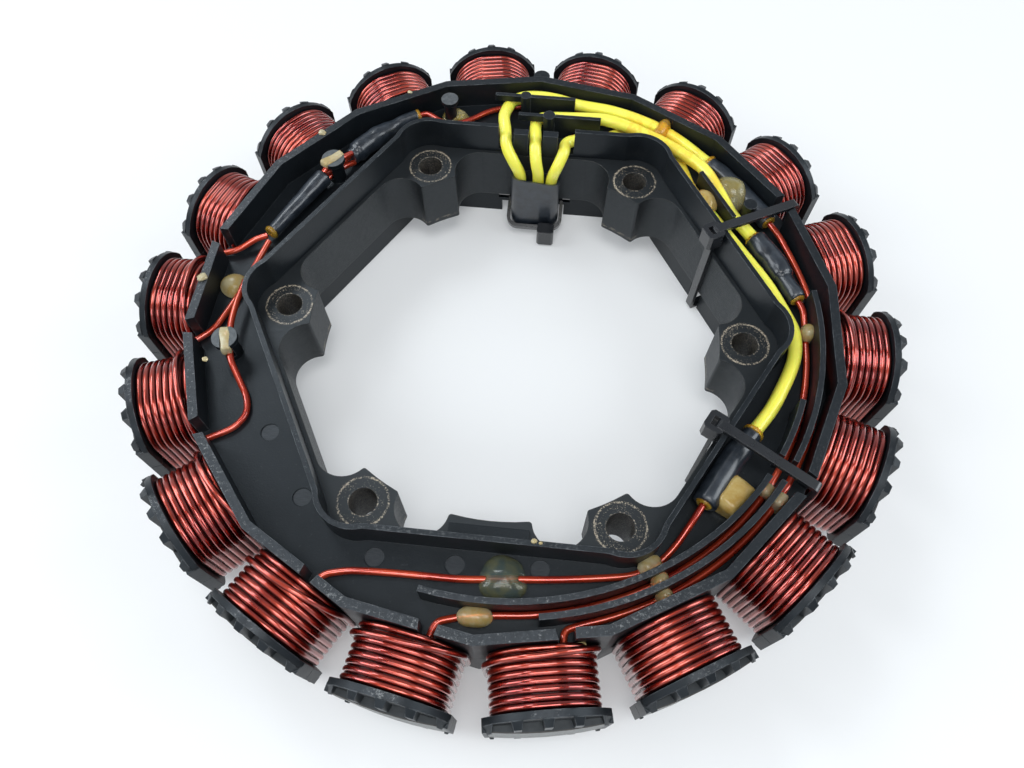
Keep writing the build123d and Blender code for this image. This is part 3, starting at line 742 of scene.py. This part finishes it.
# %% [markdown]
# ## Geometry Nodes: the turns of a coil
# Each coil shows eight turns of round wire. One open wire is laid as points that run round a
# rounded rectangle and step to the next turn on the hidden underside, then it becomes a tube.
# The step can be put on top instead, which gives the loose end that crosses some of the coils.
# Two slow noises along the wire keep the turns from being perfectly even. They follow the
# whole wire and not each turn, because a jump from turn to turn would kink the highlights.
# Building this with nodes keeps the winding's data, such as pitch and wire size, as named
# inputs, and the same group serves all 18 poles with another angle and another seed.

# %% Coil turns


# Shares of a turn: where the wire begins, where the rectangle begins, what the step to the
# next turn takes up, and what is left off at the end
wire_begins, shape_begins, step_from, step_to, left_off = 0.6, 0.125, 0.36, 0.64, 0.12


def wire_line(group, given):
    """Points along one pole: how far along it, across it and up each one lies."""
    doubled = [product(group, given[label], 2.0) for label in ("Half Width", "Half Height")]
    pairs = {"Width": doubled[0], "Height": doubled[1]}
    shape = put(group, "GeometryNodeCurvePrimitiveQuadrilateral", pairs).outputs[0]
    pairs = {"Curve": shape, "Radius": given["Corner"], "Count": 24}
    rounded = put(group, "GeometryNodeFilletCurve", pairs, mode="POLY").outputs[0]
    index = put(group, "GeometryNodeInputIndex").outputs[0]
    turn = calc(group, "ADD", calc(group, "DIVIDE", index, given["Steps"]), wire_begins)

    # Where on the rounded rectangle the point lies
    from_top = calc(group, "ADD", calc(group, "FRACT", turn), shape_begins)
    from_top = calc(group, "FRACT", from_top)
    pairs = {"Curves": rounded, "Factor": from_top}
    sample = put(group, "GeometryNodeSampleCurve", pairs, mode="FACTOR")
    on_shape = parts_of(group, sample.outputs["Position"])

    # Which turn it belongs to, with a smooth step from one to the next
    counted = calc(group, "ADD", calc(group, "SUBTRACT", turn, given["Step At"]), 0.5)
    pairs = {0: calc(group, "FRACT", counted), 1: step_from, 2: step_to, 3: 0.0, 4: 1.0}
    step = put(group, "ShaderNodeMapRange", pairs, interpolation_type="SMOOTHSTEP").outputs[0]
    row = calc(group, "SUBTRACT", calc(group, "ADD", calc(group, "FLOOR", counted), step), 1.0)

    # Unevenness along the pole, and lift away from it
    wobble_at = vector_of(group, turn, 0.3, given["Seed"])
    wobble = calc(group, "SUBTRACT", noise(group, wobble_at, 1.7, 1.0), 0.5)
    lift_at = vector_of(group, given["Seed"], turn, 0.7)
    lift = calc(group, "SUBTRACT", noise(group, lift_at, 1.9, 1.0), 0.36)
    share = calc(group, "DIVIDE", given["Lift"], given["Half Height"])
    swell = calc(group, "ADD", product(group, lift, share), 1.0)

    along = calc(group, "ADD", given["Start"], product(group, row, given["Pitch"]))
    along = calc(group, "ADD", along, product(group, wobble, given["Unevenness"]))
    across = product(group, on_shape[0], swell)
    high = calc(group, "ADD", product(group, on_shape[1], swell), given["Middle Height"])
    return vector_of(group, along, across, high)


def make_turns():
    inputs = [
        ("Geometry", geo, None), ("Turns", num, 8.0), ("Pitch", num, 1.645 * mm),
        ("Start", num, 85.7425 * mm), ("Half Width", num, 11.70 * mm),
        ("Half Height", num, 15.45 * mm), ("Corner", num, 10.05 * mm),
        ("Wire Radius", num, 0.80 * mm), ("Middle Height", num, 18.2 * mm),
        ("Steps", "NodeSocketInt", 100), ("Unevenness", num, 0.32 * mm), ("Lift", num, 0.30 * mm),
        ("Step At", num, 0.5), ("Angle", num, 0.0), ("Seed", num, 0.0), ("Material", mat, None),
    ]
    outputs = [("Geometry", geo, None)]
    group, given, result = new_group("coil_turns", "GeometryNodeTree", inputs, outputs)
    given = given.outputs
    count = product(group, calc(group, "SUBTRACT", given["Turns"], left_off), given["Steps"])
    line = put(group, "GeometryNodeMeshLine", {"Count": count, "Offset": (0, 0, 0.001)})
    pairs = {"Geometry": line.outputs[0], "Position": wire_line(group, given)}
    laid = put(group, "GeometryNodeSetPosition", pairs)
    wire = put(group, "GeometryNodeMeshToCurve", {"Mesh": laid.outputs[0]})
    pairs = {"Resolution": 12, "Radius": given["Wire Radius"]}
    profile = put(group, "GeometryNodeCurvePrimitiveCircle", pairs)
    pairs = {"Curve": wire.outputs[0], "Profile Curve": profile.outputs[0], "Fill Caps": True}
    tube = put(group, "GeometryNodeCurveToMesh", pairs)

    # How far the surface faces along the pole, stored for the wire's material, which paints shade on the
    # flanks between turns
    facing = parts_of(group, put(group, "GeometryNodeInputNormal").outputs[0])[0]
    pairs = {"Geometry": tube.outputs[0], "Name": "gap", "Value": calc(group, "ABSOLUTE", facing)}
    marked = put(
        group, "GeometryNodeStoreNamedAttribute", pairs, data_type="FLOAT", domain="POINT"
    )
    pairs = {"Geometry": marked.outputs[0], "Rotation": vector_of(group, z=given["Angle"])}
    placed = put(group, "GeometryNodeTransform", pairs)
    end_group(group, placed.outputs[0], given["Material"], result)
    return group


turns = make_turns()
print("group:", turns.name)

# %% [markdown]
# ## Windings on the poles
# Pole by pole, the group is run with the angle of that pole. On nine of the coils a looser
# stretch of the same wire lies over the turns and crosses them, so the group is run once more
# there, on a slightly larger rectangle and with its step on top.

# %% Wind the coils
pole_count, pole_on_x = 18, 4
over_turns = {
    "Turns": 1.2, "Half Width": 12.9 * mm, "Half Height": 16.75 * mm, "Corner": 11.0 * mm,
    "Step At": 0.96, "Lift": 0.5 * mm,
}
# Coil: where along the pole the crossing wire starts, and how far it travels, in mm
crossing = {
    0: (87.5, 2.2), 4: (88.0, 2.4), 10: (87.2, 2.6), 12: (86.8, 4.8), 13: (89.0, 3.0),
    14: (87.6, 2.2), 15: (86.8, 4.0), 16: (88.8, 3.4), 17: (88.0, 2.6),
}
for k in range(pole_count):
    angle = math.radians(360 / pole_count * (k - pole_on_x))
    winding = grow(f"turns_{k + 1:02d}", turns, Angle=angle, Seed=float(k), Material=enamel)
    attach(winding, "root")
    if k in crossing:
        start, pitch = crossing[k]
        over = grow(
            f"crossing_{k + 1:02d}", turns, Angle=angle, Seed=k + 40.0, Material=enamel,
            Start=start * mm, Pitch=pitch * mm, **over_turns,
        )
        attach(over, "root")
print("windings:", pole_count, "crossing wires:", len(crossing))

# %% [markdown]
# ## Soft pieces: how a CAD solid is softened
# Drops of adhesive and shrink tube over a joint have no sharp edges. The CAD solids give their
# place and size, so each is copied, remeshed into even small cells and smoothed. Its two ends
# can be drawn in, as a drop's are where it runs out along a wire, and noise pushes it in and
# out a little. Sculpting by hand could do it too, but this can be run again.

# %% Soften a CAD solid


def taper(mesh, amount):
    """Draws the two ends of a piece in, along the tangent of the stator."""
    centre = sum((vertex.co for vertex in mesh.vertices), Vector()) / len(mesh.vertices)
    along = Vector((-centre.y, centre.x, 0)).normalized()
    half = max(abs((vertex.co - centre).dot(along)) for vertex in mesh.vertices)
    for vertex in mesh.vertices:
        reach = (vertex.co - centre).dot(along)
        side = vertex.co - centre - along * reach
        vertex.co = centre + along * reach + side * math.sqrt(1 - amount * (reach / half) ** 2)


def rounded_copy(node, label, voxel, passes):
    """A copy of a CAD solid, remeshed into even cells of a size in mm and smoothed."""
    shape = bmesh.new()
    shape.from_mesh(nodes[node].data)
    bmesh.ops.remove_doubles(shape, verts=shape.verts, dist=1e-6)
    source = bpy.data.meshes.new(label + "_source")
    shape.to_mesh(source)
    shape.free()
    piece = bpy.data.objects.new(label, source)
    scene.collection.objects.link(piece)
    remesh = piece.modifiers.new("remesh", "REMESH")
    remesh.mode = "VOXEL"
    remesh.voxel_size = voxel * mm
    smooth = piece.modifiers.new("smooth", "SMOOTH")
    smooth.iterations = passes
    shown = bpy.context.evaluated_depsgraph_get()
    mesh = bpy.data.meshes.new_from_object(piece.evaluated_get(shown))
    piece.modifiers.clear()
    piece.data = mesh
    return piece


def soften(
    node, label, material, voxel, passes, lumps, lump_size, swell=0.0, drawn_in=0.0
):
    """Stands a smooth, lumpy copy of a CAD solid in its place; sizes are in mm."""
    piece = rounded_copy(node, label, voxel, passes)
    mesh = piece.data
    taper(mesh, drawn_in)
    mesh.update()
    normals = [vertex.normal.copy() for vertex in mesh.vertices]
    for vertex, normal in zip(mesh.vertices, normals):
        lump = value_noise.noise(vertex.co * (1000.0 / lump_size))
        vertex.co += normal * (swell + lumps * lump) * mm
    mesh.materials.clear()
    mesh.materials.append(material)
    mesh.polygons.foreach_set("use_smooth", [True] * len(mesh.polygons))
    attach(piece, "root")
    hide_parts(node)


# %% [markdown]
# ## Adhesive and shrink tube
# A table gives each drop its kind of adhesive and how round it is. Drops that were laid thick
# swell out of the CAD solid's shape, and those pressed into a slot keep it. The shrink tubes
# get fewer passes, so that they keep the steps of the joint inside, and smaller creases.

# %% Adhesive and shrink tube
# Drop: kind of adhesive, swell in mm, passes of smoothing, how far its ends are drawn in
glue_table = {
    "by_boss": (amber, 0.6, 60, 0.6), "front": (glassy, 0.5, 40, 0.0),
    "left": (amber, 0.3, 30, 0.0), "plate": (deep_amber, 0.8, 60, 0.6),
    "post": (clear_yellow, 0.3, 30, 0.0), "ribs_1": (amber, 0.6, 60, 0.5),
    "ribs_2": (cream, 0.6, 60, 0.0), "right": (amber, 0.6, 60, 0.5),
    "slot_1": (cream, 0.05, 14, 0.0), "slot_2": (cream, 0.3, 14, 0.0),
    "splice_3": (deep_amber, 0.45, 60, 0.0), "splice_5": (clear_yellow, 1.4, 60, 0.0),
    "strap": (orange, 0.6, 90, 0.6), "wall_1": (amber, 0.9, 260, 0.85),
    "wall_2": (cream, 0.6, 60, 0.0), "wire_start": (amber, 0.9, 260, 0.85),
}
glue_voxel, glue_lumps, glue_lump_size = 0.26, 0.7, 4.6
for label, (kind, swell, passes, drawn_in) in glue_table.items():
    soften(
        "adhesive_" + label, "glue_" + label, kind, glue_voxel, passes,
        glue_lumps, glue_lump_size, swell, drawn_in,
    )

creases = {1: 0.12, 2: 0.2, 3: 0.12, 4: 0.35, 5: 0.3}
tube_voxel, tube_passes, crease_size, tube_swell = 0.34, 18, 3.4, 0.16
for k, crease in creases.items():
    soften(
        f"splice_{k}", f"sleeve_{k}", shrink, tube_voxel, tube_passes,
        crease, crease_size, tube_swell,
    )
print("drops of adhesive:", len(glue_table), "shrink tubes:", len(creases))

# %% [markdown]
# ## Geometry Nodes: beads of adhesive at the sleeve ends
# Shrink tube with glue inside squeezes out a bead round each wire as it shrinks. A bead is a
# thick ring with an uneven surface, so one group makes it from two circles and a noise, and a
# short table says where the beads sit and which way they face.

# %% Beads


def make_bead():
    inputs = [
        ("Geometry", geo, None), ("Radius", num, 1.9 * mm), ("Thickness", num, 0.7 * mm),
        ("Lumps", num, 0.5 * mm), ("Place", vec, None), ("Turn", vec, None),
        ("Material", mat, None),
    ]
    outputs = [("Geometry", geo, None)]
    group, given, result = new_group("bead", "GeometryNodeTree", inputs, outputs)
    given = given.outputs
    circle = "GeometryNodeCurvePrimitiveCircle"
    big = put(group, circle, {"Resolution": 28, "Radius": given["Radius"]}).outputs[0]
    small = put(group, circle, {"Resolution": 12, "Radius": given["Thickness"]}).outputs[0]
    ring = put(group, "GeometryNodeCurveToMesh", {"Curve": big, "Profile Curve": small})
    pairs = {
        "Geometry": ring.outputs[0], "Rotation": given["Turn"], "Translation": given["Place"],
    }
    placed = put(group, "GeometryNodeTransform", pairs)
    uneven = lumpy(group, placed.outputs[0], 420.0, 2.0, given["Lumps"])
    end_group(group, uneven, given["Material"], result)
    return group


bead = make_bead()
lead_r, thin_r, joint_r, splice_z, low_z = 1.8, 1.1, 1.2, 31.25, 30.75
# Place in mm, the direction of the wire there, and the radius of what the bead goes round
bead_places = (
    ((52.9, 60.0, low_z), (-0.75, 0.66, 0.0), lead_r),
    ((65.1, 32.4, splice_z), (-0.56, 0.83, 0.05), lead_r),
    ((75.9, 12.9, splice_z), (0.43, -0.90, 0.0), thin_r),
    ((62.5, -28.0, splice_z), (0.58, 0.81, 0.0), lead_r),
    ((50.2, -47.6, splice_z), (-0.5, -0.87, 0.0), joint_r),
    ((-37.3, 70.5, splice_z), (0.86, 0.51, 0.0), thin_r),
    ((-71.6, 21.1, splice_z), (-0.45, -0.89, 0.0), thin_r),
    ((69.54, 39.5, low_z), (0.5, -0.86, 0.0), joint_r),
)
for k, (place, axis, radius) in enumerate(bead_places):
    turn = Vector(axis).to_track_quat("Z", "Y").to_euler()
    piece = grow(
        f"bead_{k + 1}", bead, Radius=(radius + 0.25) * mm, Place=[v * mm for v in place],
        Turn=list(turn), Material=orange,
    )
    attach(piece, "root")
print("beads:", len(bead_places))

# %% [markdown]
# ## Geometry Nodes: stray drops of adhesive
# Where the nozzle was lifted away, small drops fell on the tops of the walls and beside the
# coils. One group makes a flattened, uneven drop of any size; the table gives the place and
# the radius of each.

# %% Stray drops


def make_drop():
    inputs = [
        ("Geometry", geo, None), ("Radius", num, 0.8 * mm), ("Flatness", num, 0.5),
        ("Place", vec, None), ("Material", mat, None),
    ]
    outputs = [("Geometry", geo, None)]
    group, given, result = new_group("drop", "GeometryNodeTree", inputs, outputs)
    given = given.outputs
    pairs = {"Segments": 20, "Rings": 12, "Radius": given["Radius"]}
    ball = put(group, "GeometryNodeMeshUVSphere", pairs)
    flattened = vector_of(group, 1.0, 0.8, given["Flatness"])
    pairs = {"Geometry": ball.outputs[0], "Scale": flattened, "Translation": given["Place"]}
    placed = put(group, "GeometryNodeTransform", pairs)
    uneven = lumpy(group, placed.outputs[0], 900.0, 1.0, given["Radius"])
    end_group(group, uneven, given["Material"], result)
    return group


drop = make_drop()
# Place and radius in mm, and the kind of adhesive
drop_places = (
    (-83.8, 0.2, 36.8, 1.5, cream), (-63.4, 55.4, 36.4, 1.2, cream),
    (-40.0, 75.0, 36.4, 0.7, cream), (-76.1, -24.0, 36.4, 0.8, cream),
    (11.0, -62.5, 37.2, 0.7, cream), (12.6, -62.8, 37.2, 0.5, cream),
    (23.3, -82.7, 30.4, 1.2, amber), (0.3, -84.6, 30.0, 1.3, amber),
)
for k, (x, y, z, radius, kind) in enumerate(drop_places):
    place = (x * mm, y * mm, z * mm)
    piece = grow(f"drop_{k + 1}", drop, Radius=radius * mm, Place=place, Material=kind)
    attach(piece, "root")
print("drops:", len(drop_places))

# %% [markdown]
# ## Floor
# The stator lies on a white table. The floor's colour alone would render a little grey under
# these lamps, and more lamps would bleach the object, so the floor also glows faintly, but
# only for the camera, in reflections and through clear pieces. It keeps the soft shadow.

# %% Floor
floor_half, floor_glow = 3.0, 0.23


def stage_floor():
    mesh = bpy.data.meshes.new("floor")
    s = floor_half
    mesh.from_pydata([(-s, -s, 0), (s, -s, 0), (s, s, 0), (-s, s, 0)], [], [(0, 1, 2, 3)])
    floor = bpy.data.objects.new("floor", mesh)
    scene.collection.objects.link(floor)
    made, tree, shader, place = new_material(
        "floor_white", Roughness=0.6, Emission_Color=(0.95, 0.975, 1.0, 1)
    )
    tint = noise(tree, place, 4.0, 2.0)
    base = blend_colours(tree, tint, (0.610, 0.617, 0.617, 1), (0.632, 0.639, 0.639, 1))
    rays = put(tree, "ShaderNodeLightPath").outputs
    seen_by = [rays[f"Is {kind} Ray"] for kind in ("Glossy", "Transmission", "Camera")]
    glow = product(tree, highest(tree, *seen_by), floor_glow)
    feed(tree, shader, Base_Color=base, Emission_Strength=glow)
    mesh.materials.append(made)
    floor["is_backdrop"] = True


stage_floor()
print("floor:", 2 * floor_half, "m wide")

# %% [markdown]
# ## Lights and sky
# Large soft lights keep the shadows faint, and the black plastic gets its shape from their
# broad pale reflections. The small one behind puts a line of light on the far edges. The sky
# is brighter near the horizon than overhead, so upright walls don't go black and tops don't
# go grey.

# %% Lights and sky
cool, white, middle = (0.90, 0.955, 1.0), (1, 1, 1), (0, 0, 0)


def area_light(name, place, target, size, power, colour):
    data = bpy.data.lights.new(name, "AREA")
    data.shape = "RECTANGLE"
    data.size, data.size_y = size
    data.energy = power
    data.color = colour
    light = bpy.data.objects.new(name, data)
    light.location = place
    light.rotation_euler = (Vector(target) - Vector(place)).to_track_quat("-Z", "Y").to_euler()
    scene.collection.objects.link(light)


# Name, place and target in metres, size, power in watts, colour
lamps = (
    ("left", (-1.0, 0.0, 0.72), middle, (0.6, 0.9), 7.4, cool),
    ("right", (0.9, 0.05, 0.62), middle, (0.5, 0.7), 4.6, cool),
    ("front", (-0.15, -0.95, 0.75), middle, (0.9, 0.35), 2.6, cool),
    ("over", (0.05, -0.28, 1.1), middle, (0.6, 0.5), 4.9, white),
    ("rear", (-0.46, 0.55, 0.90), (-0.05, 0, 0), (0.3, 0.3), 2.1, cool),
)
for lamp in lamps:
    area_light(*lamp)

world = bpy.data.worlds.new("studio")
world.use_nodes = True
sky = world.node_tree
background = sky.nodes["Background"].inputs
background["Color"].default_value = (0.88, 0.93, 1.0, 1)
steepness = parts_of(sky, put(sky, "ShaderNodeTexCoord").outputs["Generated"])[2]
sky.links.new(remap(sky, steepness, 0.3, 0.95, 0.62, 0.18), background["Strength"])
scene.world = world
scene.view_settings.view_transform = "Standard"
print("lamps:", len(lamps))

# %% [markdown]
# ## Camera
# The camera repeats the photograph: a short lens close above the part, which makes the near
# poles look bigger than the far ones. Its place and its three angles were found by fitting the
# bolt holes, the poles and the corners of the walls to where the photograph has them.

# %% Camera
azimuth, elevation, roll = 0.10888584, 1.09115874, -0.005814735
camera_place = (11.545, -110.860, 205.972)
sensor_width, focal_length, image_width = 36.0, 769.046, 1024

flat = math.cos(elevation)
back = Vector((math.sin(azimuth) * flat, -math.cos(azimuth) * flat, math.sin(elevation)))
right = Vector((math.cos(azimuth), math.sin(azimuth), 0))
up = back.cross(right)
right, up = (
    right * math.cos(roll) + up * math.sin(roll), up * math.cos(roll) - right * math.sin(roll),
)
lens = bpy.data.cameras.new("camera")
lens.sensor_width = sensor_width
lens.lens = sensor_width * focal_length / image_width
lens.clip_start = 0.01
camera = bpy.data.objects.new("camera", lens)
rotation = Matrix((right, up, back)).transposed()
camera.matrix_world = Matrix.Translation(Vector(camera_place) * mm) @ rotation.to_4x4()
scene.collection.objects.link(camera)
scene.camera = camera
print("lens:", round(lens.lens, 2), "mm")

# %% [markdown]
# ## Sizes, and the end of the script
# Both boxes, the CAD model's and the visual model's, are gathered, and the visual model's size is printed in
# mm.

# %% Sizes and finish
boxes = {"cad": [list(corner) for corner in cad_box], "visual": [list(corner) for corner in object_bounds()]}
low, high = boxes["visual"]
print("size in mm:", [round((end - start) / mm, 1) for start, end in zip(low, high)])
